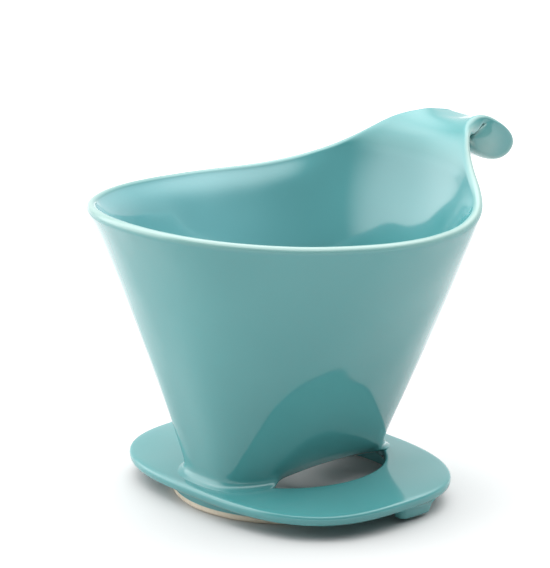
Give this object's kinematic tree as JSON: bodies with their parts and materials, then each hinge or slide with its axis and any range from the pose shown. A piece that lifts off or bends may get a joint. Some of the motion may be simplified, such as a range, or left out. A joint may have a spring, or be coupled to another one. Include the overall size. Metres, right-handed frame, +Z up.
{
  "type": "pour over dripper",
  "caption": "One-piece glazed ceramic pour over dripper: an oval cone with a rolled thumb tab over a dished flange with two viewing windows and a round foot ring.",
  "frame": {"origin": "centre of the foot ring, on the plane it stands on", "axes": "+Z up; +X towards the thumb tab, along the long axis of the cone's oval foot; the windows lie at +Y and -Y"},
  "size_m": [0.1478, 0.1116, 0.1091],
  "materials": {
    "glaze": "glossy teal glaze",
    "glaze_foot": "glossy teal glaze, wiped back to bare buff clay on the lower edge"
  },
  "bodies": {
    "root": {"filter_cone": "glaze", "thumb_tab": "glaze", "drip_floor": "glaze", "base_flange": "glaze", "foot_ring": "glaze_foot", "cup_lug_front": "glaze", "cup_lug_back": "glaze", "filter_rib_back_1": "glaze", "filter_rib_back_2": "glaze", "filter_rib_back_3": "glaze", "filter_rib_back_4": "glaze", "filter_rib_back_5": "glaze", "filter_rib_front_1": "glaze", "filter_rib_front_2": "glaze", "filter_rib_front_3": "glaze", "filter_rib_front_4": "glaze", "filter_rib_front_5": "glaze"}
  },
  "joints": []
}
